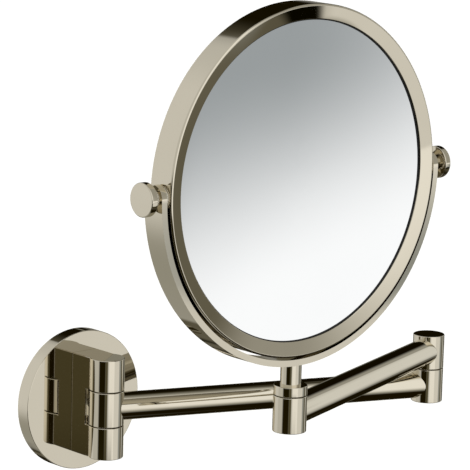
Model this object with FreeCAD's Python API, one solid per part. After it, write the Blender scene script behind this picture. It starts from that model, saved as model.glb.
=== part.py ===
"""Wall-mounted shaving mirror on two swinging arms, in polished nickel.

Millimetres, +Z up. The origin is the middle of the back of the wall flange,
on the wall's face. The wall is the plane Y = 0 and the room is on the -Y side.
"""
import FreeCAD, Part
import math
import os

Vec = FreeCAD.Vector
X_AXIS, Y_AXIS, Z_AXIS = Vec(1, 0, 0), Vec(0, 1, 0), Vec(0, 0, 1)

# ---- wall flange and the plate hidden behind it
flange_d = 81.0            # outer diameter of the round wall flange
flange_t = 9.0             # how far the flange stands off the wall
flange_rim = 3.0           # wall of the flange's rim
flange_front_t = 3.5       # wall of the flange's front
plate_gap = 0.3            # room round the plate inside the flange
plate_t = 5.0              # thickness of the mounting plate
fixing_pcd = 50.0          # circle of the wall screws
fixing_count = 3
fixing_hole_d = 5.5
fixing_head_d = 10.5       # counterbore for the wall screw's head
fixing_head_depth = 2.6
set_screw_d = 4.0          # grub screw that clamps the flange to the plate
set_screw_y = 3.6          # distance of the grub screw from the wall
socket_af = 2.0            # hexagon socket of the grub screw, across flats

# ---- hinge block on the flange
block_web_w = 17.5         # width of the flat-sided web behind the barrel
block_h = 58.0             # height of the block
block_barrel_d = 20.0      # diameter of the block's round front and of the wall knuckle
hinge_axis_out = 20.75     # hinge axis in front of the flange's face
knuckle_relief = 2.0       # gap between the wall knuckle and the notch behind it
block_screw_d = 5.0
block_screw_head_d = 9.6
block_screw_pitch = 36.0   # distance between the two screws behind the block
block_screw_grip = 8.0     # length of thread in the block
pin_plug_d = 10.0          # plug that closes the pin's bore from below
pin_plug_t = 2.2
pin_top_cover = 5.0        # metal left above the pin's blind end

# ---- hinges, shared by all three vertical joints
knuckle_h = 20.0           # height of every hinge barrel
hinge_gap = 0.4            # seam between two hinge barrels
hinge_d = 18.5             # diameter of the elbow and the front hinge
pin_d = 8.0                # hinge pins
pin_run = 0.04             # radial running clearance of a pin in its bush
bush_wall = 1.5
bush_flange_d = 14.0
bush_flange_play = 0.05    # the bush's flange is this much thinner than the seam
pin_seat = 12.0            # depth of a pin's fixed end
edge_break = 0.4           # chamfer on turned edges

# ---- screw, spring washer and cap under the elbow and the front hinge
cap_d = 14.0
cap_t = 1.5
chamber_d = 13.0
chamber_h = 4.0
spring_washer_t = 0.8
retainer_d = 4.0           # thread of the retaining screw
retainer_head_d = 9.0
retainer_head_t = 2.0
retainer_length = 8.0

# ---- arms
arm_d = 16.0
arm_wall = 1.5
arm_1_length = 202.0       # wall hinge axis to elbow axis
arm_2_length = 178.0       # elbow axis to front hinge axis
arm_1_heading = -19.7      # degrees from +X, seen from above
arm_2_heading = 199.7
spigot_length = 12.0       # stub of each barrel inside its tube
braze_gap = 0.05           # radial gap of fixed parts that slide together

# ---- swivel collar, stem and yoke
collar_h = 5.4
stem_d = 11.5
stem_pin_seat = 4.8        # depth of the swivel pin inside the stem
stem_length = 11.8         # bare stem between the collar and the yoke
yoke_gap = 1.5             # room between the mirror frame and the yoke
yoke_t = 3.5               # radial thickness of the yoke
yoke_w = 14.0              # width of the yoke, front to back
yoke_screw_d = 5.0
yoke_screw_head_d = 9.0
yoke_screw_length = 6.0

# ---- mirror head
frame_d = 190.0            # outer diameter of the mirror frame
frame_depth = 16.5
frame_wall = 2.5
frame_round = 2.0          # rounding of the frame's front edge
bezel_w = 7.2              # width of the sloping front face
bezel_drop = 2.0           # how far that face falls inwards
lip_t = 1.0                # thickness of the bezel at its inner edge
seal_show = 1.1            # black seal showing inside the bezel
seal_t = 0.5
glass_t = 2.5
glass_hold = 2.4           # how far the glass reaches behind the bezel
glass_sphere_r = 1400.0    # radius of the concave magnifying face
clamp_ring_w = 4.2
clamp_play = 0.02          # least gap between the clamping ring and the glass
cover_t = 1.5
cover_seat = 0.5           # step in the frame that the rear cover rests on
cover_gap = 0.1

# ---- tilt pivots and knobs
stud_d = 6.0
stud_run = 0.05            # radial running clearance of a stud in the yoke
boss_d = 10.0
boss_gap = 0.3             # room between the pivot bosses and the clamping ring
knob_d = 18.0
knob_t = 4.1
knob_neck_d = 8.0
knob_neck_l = 3.5
knob_edge = 0.6            # chamfer round the knob
stud_in_knob = 4.0
outer_washer_t = 0.5
outer_washer_d = 9.0
inner_washer_d = 12.0
inner_washer_play = 0.1    # least gap between the inner washer and the yoke

# ---- places that follow from the sizes
hinge_y = -(flange_t + hinge_axis_out)
wall_hinge = Vec(0, hinge_y, 0)
level = knuckle_h + hinge_gap              # from one arm's axis up to the next
barrel_bottom = -knuckle_h / 2
barrel_top = knuckle_h / 2


def heading(degrees):
    """Return the level direction at an angle from +X, seen from above."""
    turn = math.radians(degrees)
    return Vec(math.cos(turn), math.sin(turn), 0)


arm_1_dir = heading(arm_1_heading)
arm_2_dir = heading(arm_2_heading)
elbow = wall_hinge + arm_1_dir * arm_1_length
front_hinge_at = elbow + arm_2_dir * arm_2_length + Z_AXIS * level
collar_z = level + barrel_top + hinge_gap
stem_z = collar_z + collar_h
frame_r = frame_d / 2
yoke_inner_r = frame_r + yoke_gap
yoke_r = yoke_inner_r + yoke_t
mirror_at = Vec(front_hinge_at.x, front_hinge_at.y, stem_z + stem_length + yoke_r)
bush_d = pin_d + 2 * (pin_run + bush_wall)
bush_bottom = barrel_bottom + cap_t + chamber_h


# ---- small makers
def rod(diameter, start, direction, length):
    """Solid cylinder from a point, along a direction."""
    return Part.makeCylinder(diameter / 2, length, start, direction)


def tube(outer_d, inner_d, start, direction, length):
    """Hollow cylinder from a point, along a direction."""
    outer = rod(outer_d, start, direction, length)
    return outer.cut(rod(inner_d, start - direction, direction, length + 2))


def turned(profile, start, direction):
    """Solid of revolution: profile is (radius, distance along direction) points."""
    points = [Vec(radius, 0, along) for radius, along in profile]
    face = Part.Face(Part.makePolygon(points + points[:1]))
    solid = face.revolve(Vec(0, 0, 0), Z_AXIS, 360)
    solid.Placement = FreeCAD.Placement(start, FreeCAD.Rotation(Z_AXIS, direction))
    return solid


def edged_barrel(diameter, bottom, top, at):
    """Upright cylinder with both edges broken."""
    r = diameter / 2
    profile = [(0, bottom), (r - edge_break, bottom), (r, bottom + edge_break),
               (r, top - edge_break), (r - edge_break, top), (0, top)]
    return turned(profile, Vec(at.x, at.y, 0), Z_AXIS)


def flat_head_screw(thread_d, head_d, length, start, direction):
    """Countersunk screw with its flat head at start, pointing along direction."""
    head_t = (head_d - thread_d) / 2
    profile = [(0, 0), (head_d / 2, 0), (thread_d / 2, head_t), (thread_d / 2, length), (0, length)]
    screw = turned(profile, start, direction)
    drive = hexagon(thread_d * 0.5, start - direction * 0.01, direction, head_t * 0.8)
    return screw.cut(drive)


def hexagon(across_flats, start, direction, depth):
    """Hexagonal prism, for a key socket."""
    corner = across_flats / math.sqrt(3)
    turns = [math.radians(60 * side) for side in range(6)]
    points = [Vec(corner * math.cos(t), corner * math.sin(t), 0) for t in turns]
    prism = Part.Face(Part.makePolygon(points + points[:1])).extrude(Z_AXIS * depth)
    prism.Placement = FreeCAD.Placement(start, FreeCAD.Rotation(Z_AXIS, direction))
    return prism


def group(solids):
    """Put separate solids in one node."""
    return Part.makeCompound(solids)


def around_mirror(profile):
    """Turn a (radius, distance towards the wall) profile about the mirror's own axis."""
    return turned(profile, mirror_at, Y_AXIS)


# ---- wall side
def make_mounting_plate():
    """Round plate that is screwed to the wall and carries the flange."""
    plate_d = flange_d - 2 * (flange_rim + plate_gap)
    plate = rod(plate_d, Vec(0, 0, 0), -Y_AXIS, plate_t)
    for index in range(fixing_count):
        turn = math.radians(90 + 360 * index / fixing_count)
        at = Vec(math.cos(turn), 0, math.sin(turn)) * (fixing_pcd / 2)
        plate = plate.cut(rod(fixing_hole_d, at + Y_AXIS, -Y_AXIS, plate_t + 2))
        sunk = at - Y_AXIS * (plate_t - fixing_head_depth)
        plate = plate.cut(rod(fixing_head_d, sunk, -Y_AXIS, plate_t))
    return plate


def block_screw_places():
    """Points on the inside of the flange's front where the block's screws sit."""
    inside = -(flange_t - flange_front_t)
    return [Vec(0, inside, side * block_screw_pitch / 2) for side in (1, -1)]


def block_screw_length():
    """From the screw's head to its tip."""
    return flange_front_t + block_screw_grip


def make_wall_flange():
    """Round cup over the mounting plate, with a crisp edge."""
    r = flange_d / 2
    cavity_r = r - flange_rim
    cavity = flange_t - flange_front_t
    profile = [(cavity_r, 0), (r, 0), (r, flange_t - edge_break), (r - edge_break, flange_t),
               (0, flange_t), (0, cavity), (cavity_r, cavity)]
    flange = turned(profile, Vec(0, 0, 0), -Y_AXIS)
    for at in block_screw_places():
        head_t = (block_screw_head_d - block_screw_d) / 2
        sink = [(0, -1), (block_screw_head_d / 2 + braze_gap, -1), (block_screw_head_d / 2 + braze_gap, 0),
                (block_screw_d / 2 + braze_gap, head_t), (block_screw_d / 2 + braze_gap, flange_t), (0, flange_t)]
        flange = flange.cut(turned(sink, at, -Y_AXIS))
    grub_hole = rod(set_screw_d + 2 * braze_gap, Vec(0, -set_screw_y, 0), -Z_AXIS, flange_d)
    return flange.cut(grub_hole)


def make_flange_set_screw():
    """Grub screw in the underside of the flange's rim."""
    tip = flange_d / 2 - flange_rim - plate_gap
    length = flange_rim + plate_gap - edge_break
    screw = rod(set_screw_d, Vec(0, -set_screw_y, -tip), -Z_AXIS, length)
    socket_depth = length * 0.6
    mouth = Vec(0, -set_screw_y, -tip - length)
    return screw.cut(hexagon(socket_af, mouth, Z_AXIS, socket_depth))


def make_block_screws():
    """Two flat-head screws that hold the block to the flange."""
    length = block_screw_length()
    return group([flat_head_screw(block_screw_d, block_screw_head_d, length, at, -Y_AXIS)
                  for at in block_screw_places()])


def make_hinge_block():
    """Upright block with a round front, a flat-sided web and a notch for the wall knuckle."""
    half_h = block_h / 2
    web = Part.makeBox(block_web_w, hinge_axis_out, block_h, Vec(-block_web_w / 2, hinge_y, -half_h))
    barrel = rod(block_barrel_d, wall_hinge - Z_AXIS * half_h, Z_AXIS, block_h)
    block = web.fuse(barrel).removeSplitter()
    notch_h = knuckle_h + 2 * hinge_gap
    notch_d = block_barrel_d + 2 * knuckle_relief
    block = block.cut(rod(notch_d, wall_hinge - Z_AXIS * notch_h / 2, Z_AXIS, notch_h))
    outside = [edge for edge in block.Edges if is_block_edge(edge, notch_h / 2)]
    block = block.makeChamfer(edge_break, outside)
    pin_hole_h = block_h - pin_top_cover
    block = block.cut(rod(pin_d + 2 * braze_gap, wall_hinge - Z_AXIS * half_h, Z_AXIS, pin_hole_h))
    block = block.cut(rod(pin_plug_d + 2 * braze_gap, wall_hinge - Z_AXIS * half_h, Z_AXIS, pin_plug_t))
    for at in block_screw_places():
        start = Vec(at.x, -flange_t, at.z)
        depth = block_screw_grip + 1
        block = block.cut(rod(block_screw_d + 2 * braze_gap, start, -Y_AXIS, depth))
    return block


def is_block_edge(edge, notch_half):
    """True for the level edges round the block's ends and its notch, away from the flange."""
    box = edge.BoundBox
    level_edge = box.ZLength < 0.01
    height = abs(box.ZMax)
    at_end = abs(height - block_h / 2) < 0.01
    at_notch = abs(height - notch_half) < 0.01
    on_flange = box.YMin > -flange_t - 0.01
    return level_edge and (at_end or at_notch) and not on_flange and not in_notch(edge)


def in_notch(edge):
    """True for the arc where the notch's rounded back meets its floor or roof."""
    middle = edge.valueAt((edge.FirstParameter + edge.LastParameter) / 2)
    reach = math.hypot(middle.x - wall_hinge.x, middle.y - wall_hinge.y)
    return reach > block_barrel_d / 2 + knuckle_relief - 0.01 and abs(middle.z) < block_h / 2 - 0.01


def make_wall_hinge_pin():
    """Upright steel pin held by the block's two ears."""
    bottom = -block_h / 2 + pin_plug_t
    top = block_h / 2 - pin_top_cover
    return rod(pin_d, wall_hinge + Z_AXIS * bottom, Z_AXIS, top - bottom)


def make_wall_hinge_plug():
    """Disc that closes the pin's bore from below."""
    return rod(pin_plug_d, wall_hinge - Z_AXIS * block_h / 2, Z_AXIS, pin_plug_t)


# ---- hinge barrels
def spigot(at, direction, barrel_d, z):
    """Stub that a tube slides over, running out of a barrel."""
    stub_d = arm_d - 2 * (arm_wall + braze_gap)
    start = Vec(at.x, at.y, z)
    return rod(stub_d, start, direction, barrel_d / 2 + spigot_length)


def make_wall_knuckle():
    """Full-round knuckle between the block's ears, with the first arm's stub."""
    body = edged_barrel(block_barrel_d, barrel_bottom, barrel_top, wall_hinge)
    body = body.fuse(spigot(wall_hinge, arm_1_dir, block_barrel_d, 0))
    bore = rod(bush_d, wall_hinge + Z_AXIS * (barrel_bottom - 1), Z_AXIS, knuckle_h + 2)
    return body.cut(bore)


def swivel_barrel(at, direction, z):
    """Barrel that turns round a pin from above, with a screw chamber and cap seat below."""
    body = edged_barrel(hinge_d, z + barrel_bottom, z + barrel_top, at)
    body = body.fuse(spigot(at, direction, hinge_d, z))
    base = Vec(at.x, at.y, z + barrel_bottom)
    body = body.cut(rod(bush_d, base, Z_AXIS, knuckle_h))
    body = body.cut(rod(chamber_d, base, Z_AXIS, cap_t + chamber_h))
    return body.cut(rod(cap_d + 2 * braze_gap, base, Z_AXIS, cap_t))


def make_elbow_upper():
    """Upper half of the elbow, closed on top, holding the elbow pin."""
    body = edged_barrel(hinge_d, level + barrel_bottom, level + barrel_top, elbow)
    body = body.fuse(spigot(elbow, arm_2_dir, hinge_d, level))
    seat = Vec(elbow.x, elbow.y, level + barrel_bottom)
    return body.cut(rod(pin_d + 2 * braze_gap, seat, Z_AXIS, pin_seat))


def flanged_bush(at, mouth_z, up, length, flange_t_here):
    """Plastic bush pressed into a barrel, its flange against the barrel's end face."""
    out = Z_AXIS * up
    mouth = Vec(at.x, at.y, mouth_z)
    inner_d = pin_d + 2 * pin_run
    sleeve = tube(bush_d, inner_d, mouth, -out, length)
    flange = tube(bush_flange_d, inner_d, mouth, out, flange_t_here)
    return sleeve.fuse(flange)


def make_wall_hinge_bushes():
    """Two flanged bushes in the wall knuckle, one from above and one from below."""
    flange_t_here = hinge_gap - bush_flange_play
    return group([flanged_bush(wall_hinge, up * knuckle_h / 2, up, knuckle_h / 2 - 0.5, flange_t_here)
                  for up in (1, -1)])


def swivel_bushes(at, z):
    """Flanged bush from above and plain-ended bush from the screw chamber."""
    length = (barrel_top - bush_bottom) / 2 - 0.2
    upper = flanged_bush(at, z + barrel_top, 1, length, hinge_gap - bush_flange_play)
    inner_d = pin_d + 2 * pin_run
    lower = tube(bush_d, inner_d, Vec(at.x, at.y, z + bush_bottom), Z_AXIS, length)
    return group([upper, lower])


def swivel_pin(at, top, z):
    """Pin hanging from the part above, tapped from below for the retaining screw."""
    bottom = z + bush_bottom
    pin = rod(pin_d, Vec(at.x, at.y, bottom), Z_AXIS, top - bottom)
    tapped = rod(retainer_d + 2 * braze_gap, Vec(at.x, at.y, bottom), Z_AXIS, retainer_length)
    return pin.cut(tapped)


def spring_washer(at, z):
    """Washer under the barrel that keeps the joint stiff."""
    top = Vec(at.x, at.y, z + bush_bottom)
    washer_d = chamber_d - 1.0
    return tube(washer_d, retainer_d + 0.4, top, -Z_AXIS, spring_washer_t)


def retaining_screw(at, z):
    """Low-head screw up into the pin."""
    seat = z + bush_bottom - spring_washer_t
    head = rod(retainer_head_d, Vec(at.x, at.y, seat), -Z_AXIS, retainer_head_t)
    shank = rod(retainer_d, Vec(at.x, at.y, seat), Z_AXIS, retainer_length)
    screw = head.fuse(shank)
    mouth = Vec(at.x, at.y, seat - retainer_head_t)
    return screw.cut(hexagon(retainer_d * 0.6, mouth, Z_AXIS, retainer_head_t * 0.7))


def bottom_cap(at, z):
    """Disc that closes a barrel from below."""
    return rod(cap_d, Vec(at.x, at.y, z + barrel_bottom), Z_AXIS, cap_t)


# ---- arms
def arm_tube(start, end, start_barrel_d, end_barrel_d):
    """Tube between two barrels, its ends saddled over them."""
    span = end - start
    direction = span * (1 / span.Length)
    body = tube(arm_d, arm_d - 2 * arm_wall, start, direction, span.Length)
    for at, barrel_d in ((start, start_barrel_d), (end, end_barrel_d)):
        foot = Vec(at.x, at.y, at.z - arm_d)
        body = body.cut(rod(barrel_d, foot, Z_AXIS, 2 * arm_d))
    return body


def make_arm_tube_1():
    """Rear arm, from the wall knuckle to the elbow's lower half."""
    return arm_tube(wall_hinge, elbow, block_barrel_d, hinge_d)


def make_arm_tube_2():
    """Front arm, from the elbow's upper half to the front hinge."""
    return arm_tube(elbow + Z_AXIS * level, front_hinge_at, hinge_d, hinge_d)


# ---- swivel, stem and yoke
def make_swivel_collar():
    """Short barrel on the front hinge that turns with the mirror."""
    collar = edged_barrel(hinge_d, collar_z, collar_z + collar_h, front_hinge_at)
    hole = rod(pin_d + 2 * braze_gap, Vec(front_hinge_at.x, front_hinge_at.y, collar_z), Z_AXIS, collar_h)
    return collar.cut(hole)


def make_stem():
    """Rod from the collar up to the yoke, its top hollowed to sit on the yoke."""
    foot = Vec(front_hinge_at.x, front_hinge_at.y, stem_z)
    stem = rod(stem_d, foot, Z_AXIS, stem_length + yoke_t)
    around_yoke = rod(2 * yoke_r, mirror_at + Y_AXIS * stem_d, -Y_AXIS, 2 * stem_d)
    stem = stem.cut(around_yoke)
    stem = stem.cut(rod(pin_d + 2 * braze_gap, foot, Z_AXIS, stem_pin_seat))
    thread_top = mirror_at - Z_AXIS * yoke_inner_r
    return stem.cut(rod(yoke_screw_d + 2 * braze_gap, thread_top, -Z_AXIS, yoke_screw_length + 0.5))


def make_yoke():
    """Half ring of flat bar under the mirror, with round ends about the tilt axis."""
    hoop = tube(2 * yoke_r, 2 * yoke_inner_r, mirror_at + Y_AXIS * yoke_w / 2, -Y_AXIS, yoke_w)
    reach = yoke_r + 1
    below = Part.makeBox(2 * reach, yoke_w, reach,
                         Vec(mirror_at.x - reach, mirror_at.y - yoke_w / 2, mirror_at.z - reach))
    ends = rod(yoke_w, mirror_at - X_AXIS * reach, X_AXIS, 2 * reach)
    yoke = hoop.common(below.fuse(ends))
    yoke = yoke.cut(rod(stud_d + 2 * stud_run, mirror_at - X_AXIS * reach, X_AXIS, 2 * reach))
    return yoke.cut(yoke_screw_room())


def yoke_screw_room():
    """Countersunk hole at the bottom of the yoke."""
    head_t = (yoke_screw_head_d - yoke_screw_d) / 2
    profile = [(0, -yoke_t), (yoke_screw_head_d / 2 + braze_gap, -yoke_t), (yoke_screw_head_d / 2 + braze_gap, 0),
               (yoke_screw_d / 2 + braze_gap, head_t), (yoke_screw_d / 2 + braze_gap, 2 * yoke_t), (0, 2 * yoke_t)]
    return turned(profile, mirror_at - Z_AXIS * yoke_inner_r, -Z_AXIS)


def make_yoke_screw():
    """Flat-head screw down through the yoke into the stem."""
    top = mirror_at - Z_AXIS * yoke_inner_r
    return flat_head_screw(yoke_screw_d, yoke_screw_head_d, yoke_screw_length, top, -Z_AXIS)


# ---- mirror head: distances run from the frame's front face towards the wall
front = -frame_depth / 2
back = frame_depth / 2
bezel_inner_r = frame_r - frame_round - bezel_w
lip_back = front + bezel_drop + lip_t
glass_front = lip_back + seal_t
glass_r = bezel_inner_r + glass_hold
glass_sag = glass_sphere_r - math.sqrt(glass_sphere_r ** 2 - glass_r ** 2)
bore_r = frame_r - frame_wall


def make_mirror_frame():
    """Deep round frame with a rounded front edge and a sloping bezel."""
    cover_r = bore_r + cover_seat
    points = [(bezel_inner_r, lip_back), (bore_r, lip_back), (bore_r, back - cover_t), (cover_r, back - cover_t),
              (cover_r, back), (frame_r, back), (frame_r, front + frame_round)]
    corner = [Vec(radius, 0, along) for radius, along in points]
    bezel_outer = Vec(frame_r - frame_round, 0, front)
    middle = frame_round * math.sqrt(0.5)
    on_round = Vec(frame_r - frame_round + middle, 0, front + frame_round - middle)
    bezel_inner = Vec(bezel_inner_r, 0, front + bezel_drop)
    edges = [Part.makeLine(a, b) for a, b in zip(corner, corner[1:])]
    edges.append(Part.Arc(corner[-1], on_round, bezel_outer).toShape())
    edges.append(Part.makeLine(bezel_outer, bezel_inner))
    edges.append(Part.makeLine(bezel_inner, corner[0]))
    frame = Part.Face(Part.Wire(edges)).revolve(Vec(0, 0, 0), Z_AXIS, 360)
    frame.Placement = FreeCAD.Placement(mirror_at, FreeCAD.Rotation(Z_AXIS, Y_AXIS))
    return frame.cut(rod(stud_d + 2 * braze_gap, mirror_at - X_AXIS * frame_r, X_AXIS, 2 * frame_r))


def make_glass_seal():
    """Thin black ring between the bezel and the glass."""
    inner_r = bezel_inner_r - seal_show
    return around_mirror([(inner_r, lip_back), (glass_r, lip_back), (glass_r, glass_front), (inner_r, glass_front)])


def make_mirror_glass():
    """Magnifying glass: both faces are shallow spheres, hollow towards the room."""
    rim_front, rim_back = Vec(glass_r, 0, glass_front), Vec(glass_r, 0, glass_front + glass_t)
    mid_front, mid_back = Vec(0, 0, glass_front + glass_sag), Vec(0, 0, glass_front + glass_sag + glass_t)
    half_r = glass_r / 2
    half_sag = glass_sag - (glass_sphere_r - math.sqrt(glass_sphere_r ** 2 - half_r ** 2))
    half_front = Vec(half_r, 0, glass_front + half_sag)
    half_back = Vec(half_r, 0, glass_front + half_sag + glass_t)
    edges = [Part.Arc(mid_front, half_front, rim_front).toShape(), Part.makeLine(rim_front, rim_back),
             Part.Arc(rim_back, half_back, mid_back).toShape(), Part.makeLine(mid_back, mid_front)]
    glass = Part.Face(Part.Wire(edges)).revolve(Vec(0, 0, 0), Z_AXIS, 360)
    glass.Placement = FreeCAD.Placement(mirror_at, FreeCAD.Rotation(Z_AXIS, Y_AXIS))
    return glass


def make_clamping_ring():
    """Plastic ring that the rear cover presses against the back of the glass."""
    inner_r = glass_r - clamp_ring_w
    inner_sag = glass_sag - (glass_sphere_r - math.sqrt(glass_sphere_r ** 2 - inner_r ** 2))
    start = glass_front + glass_t + clamp_play
    return around_mirror([(inner_r, start + inner_sag), (glass_r, start), (glass_r, back - cover_t),
                          (inner_r, back - cover_t)])


def make_rear_cover():
    """Disc pressed into the back of the frame."""
    r = bore_r + cover_seat - cover_gap
    return around_mirror([(0, back - cover_t), (r, back - cover_t), (r, back - edge_break), (r - edge_break, back),
                          (0, back)])


def both_sides(make):
    """Make a thing at the right (+1) and the left (-1) end of the tilt axis."""
    return group([make(side) for side in (1, -1)])


def on_tilt_axis(distance, side):
    """Point on the tilt axis, at a distance to one side of the mirror's middle."""
    return mirror_at + X_AXIS * side * distance


def make_pivot_bosses():
    """Threaded bosses brazed inside the frame's wall."""
    def boss(side):
        start = glass_r + boss_gap
        solid = rod(boss_d, on_tilt_axis(start, side), X_AXIS * side, frame_wall + bore_r - start)
        solid = solid.common(rod(2 * bore_r, mirror_at - Y_AXIS * boss_d, Y_AXIS, 2 * boss_d))
        return solid.cut(rod(stud_d + 2 * braze_gap, on_tilt_axis(start, side), X_AXIS * side, boss_d))
    return both_sides(boss)


knob_neck_start = yoke_r + outer_washer_t
knob_start = knob_neck_start + knob_neck_l


def make_pivot_studs():
    """Threaded studs that carry the mirror in the yoke's ends."""
    start = glass_r + boss_gap
    length = knob_start + stud_in_knob - knob_neck_l - start
    return both_sides(lambda side: rod(stud_d, on_tilt_axis(start, side), X_AXIS * side, length))


def make_inner_washers():
    """Plastic washers between the frame and the yoke's ends."""
    rim = inner_washer_d / 2
    reach = math.sqrt(yoke_inner_r ** 2 - rim ** 2) - inner_washer_play
    bore = stud_d + 2 * stud_run
    return both_sides(lambda side: tube(inner_washer_d, bore, on_tilt_axis(frame_r, side), X_AXIS * side,
                                        reach - frame_r))


def make_outer_washers():
    """Plastic washers between the yoke's ends and the knobs."""
    bore = stud_d + 2 * stud_run
    return both_sides(lambda side: tube(outer_washer_d, bore, on_tilt_axis(yoke_r, side), X_AXIS * side,
                                        outer_washer_t))


def make_knob(side):
    """Disc knob with a short neck, screwed onto its stud."""
    r, neck = knob_d / 2, knob_neck_d / 2
    hole = stud_d / 2 + braze_gap
    end = knob_neck_l + knob_t
    bottom = stud_in_knob
    profile = [(hole, 0), (neck, 0), (neck, knob_neck_l), (r - knob_edge, knob_neck_l), (r, knob_neck_l + knob_edge),
               (r, end - knob_edge), (r - knob_edge, end), (0, end), (0, bottom), (hole, bottom)]
    return turned(profile, on_tilt_axis(knob_neck_start, side), X_AXIS * side)


PARTS = {
    "mounting_plate": make_mounting_plate,
    "wall_flange": make_wall_flange,
    "flange_set_screw": make_flange_set_screw,
    "block_screws": make_block_screws,
    "hinge_block": make_hinge_block,
    "wall_hinge_pin": make_wall_hinge_pin,
    "wall_hinge_plug": make_wall_hinge_plug,
    "wall_knuckle": make_wall_knuckle,
    "wall_hinge_bushes": make_wall_hinge_bushes,
    "arm_tube_1": make_arm_tube_1,
    "elbow_lower": lambda: swivel_barrel(elbow, -arm_1_dir, 0),
    "elbow_bushes": lambda: swivel_bushes(elbow, 0),
    "elbow_cap": lambda: bottom_cap(elbow, 0),
    "elbow_upper": make_elbow_upper,
    "elbow_pin": lambda: swivel_pin(elbow, level + barrel_bottom + pin_seat, 0),
    "elbow_spring_washer": lambda: spring_washer(elbow, 0),
    "elbow_screw": lambda: retaining_screw(elbow, 0),
    "arm_tube_2": make_arm_tube_2,
    "front_hinge": lambda: swivel_barrel(front_hinge_at, -arm_2_dir, level),
    "front_hinge_bushes": lambda: swivel_bushes(front_hinge_at, level),
    "front_hinge_cap": lambda: bottom_cap(front_hinge_at, level),
    "swivel_collar": make_swivel_collar,
    "swivel_pin": lambda: swivel_pin(front_hinge_at, stem_z + stem_pin_seat, level),
    "swivel_spring_washer": lambda: spring_washer(front_hinge_at, level),
    "swivel_screw": lambda: retaining_screw(front_hinge_at, level),
    "stem": make_stem,
    "yoke": make_yoke,
    "yoke_screw": make_yoke_screw,
    "mirror_frame": make_mirror_frame,
    "glass_seal": make_glass_seal,
    "mirror_glass": make_mirror_glass,
    "clamping_ring": make_clamping_ring,
    "rear_cover": make_rear_cover,
    "pivot_bosses": make_pivot_bosses,
    "pivot_studs": make_pivot_studs,
    "inner_washers": make_inner_washers,
    "outer_washers": make_outer_washers,
    "right_knob": lambda: make_knob(1),
    "left_knob": lambda: make_knob(-1),
}


def main():
    """Build every sub-part and write it to its own file."""
    os.makedirs("parts", exist_ok=True)
    for node, make in PARTS.items():
        shape = make()
        shape.exportStep(f"parts/{node}.step")
        print(f"{node}: {len(shape.Solids)} solid(s), {shape.Volume:.1f} mm3, valid {shape.isValid()}")


main()
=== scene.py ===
"""Looks of a wall-mounted shaving mirror on two swinging arms, in polished nickel.

The pieces are modelled in millimetres, +Z up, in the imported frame's own place: the wall's
face is the plane Y = 0 and the room is on its -Y side. They are scaled to metres when a
piece is finished.
"""
import logging
import math
from dataclasses import dataclass, field
from enum import Enum
from typing import Callable, Iterable, Optional

import bmesh
import bpy
from mathutils import Matrix, Vector


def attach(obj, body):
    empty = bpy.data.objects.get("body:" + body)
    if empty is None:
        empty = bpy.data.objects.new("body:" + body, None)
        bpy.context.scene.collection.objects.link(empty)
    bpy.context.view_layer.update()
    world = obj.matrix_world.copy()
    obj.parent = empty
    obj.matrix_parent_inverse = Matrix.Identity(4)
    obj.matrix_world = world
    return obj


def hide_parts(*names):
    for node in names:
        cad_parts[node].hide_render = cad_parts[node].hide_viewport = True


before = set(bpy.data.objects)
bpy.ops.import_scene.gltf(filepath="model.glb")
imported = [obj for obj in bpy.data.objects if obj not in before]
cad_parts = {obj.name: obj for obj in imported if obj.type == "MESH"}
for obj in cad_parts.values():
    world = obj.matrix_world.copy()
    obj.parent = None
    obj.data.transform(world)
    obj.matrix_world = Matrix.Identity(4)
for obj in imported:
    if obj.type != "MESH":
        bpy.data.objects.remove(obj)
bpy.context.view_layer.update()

log = logging.getLogger("shaving_mirror")

MM = 0.001                      # metres in a millimetre
NEAR = 0.01                     # mm within which a corner counts as lying in a plane
SKIN = 0.05                     # mm below a turned surface that still count as on it
UPRIGHT = 0.5                   # a face whose normal rises less than this stands upright
FULL_TURN = 2 * math.pi
X_AXIS, Y_AXIS, Z_AXIS = Vector((1, 0, 0)), Vector((0, 1, 0)), Vector((0, 0, 1))


class Body(Enum):
    """The parts of the mirror that move on their own."""

    WALL = "wall_mount"
    REAR_ARM = "rear_arm"
    FRONT_ARM = "front_arm"
    YOKE = "yoke_assembly"
    HEAD = "mirror_head"


class Side(Enum):
    """The two ends of the tilt axis."""

    RIGHT = 1
    LEFT = -1


# ---- colour and nodes
MIX_FACTOR, MIX_A, MIX_B, MIX_COLOUR = 0, 6, 7, 2   # a colour Mix node's sockets
WHITE = (1, 1, 1, 1)


def linear(hex_colour: str) -> tuple[float, float, float, float]:
    """Turn an sRGB hex colour into a linear one, with the sRGB standard's own numbers.

    Args:
        hex_colour: six hex digits with a leading "#".

    Returns:
        Red, green, blue and an alpha of 1.
    """
    channels = [int(hex_colour[i:i + 2], 16) / 255 for i in (1, 3, 5)]
    straight = [c / 12.92 if c <= 0.04045 else ((c + 0.055) / 1.055) ** 2.4 for c in channels]
    return (*straight, 1.0)


def add_node(tree: bpy.types.NodeTree, kind: str, settings: Optional[dict] = None,
             links: Optional[dict] = None) -> bpy.types.Node:
    """Add a node to a tree with its settings and links.

    Args:
        tree: the material's or world's node tree.
        kind: the node's type name in Blender.
        settings: socket names or numbers with their values, and attribute names with theirs.
        links: input socket names or numbers with the output sockets that feed them.

    Returns:
        The new node.
    """
    node = tree.nodes.new(kind)
    for key, value in (settings or {}).items():
        if isinstance(key, str) and hasattr(node, key):
            setattr(node, key, value)
        else:
            node.inputs[key].default_value = value
    for key, socket in (links or {}).items():
        tree.links.new(socket, node.inputs[key])
    return node


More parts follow.
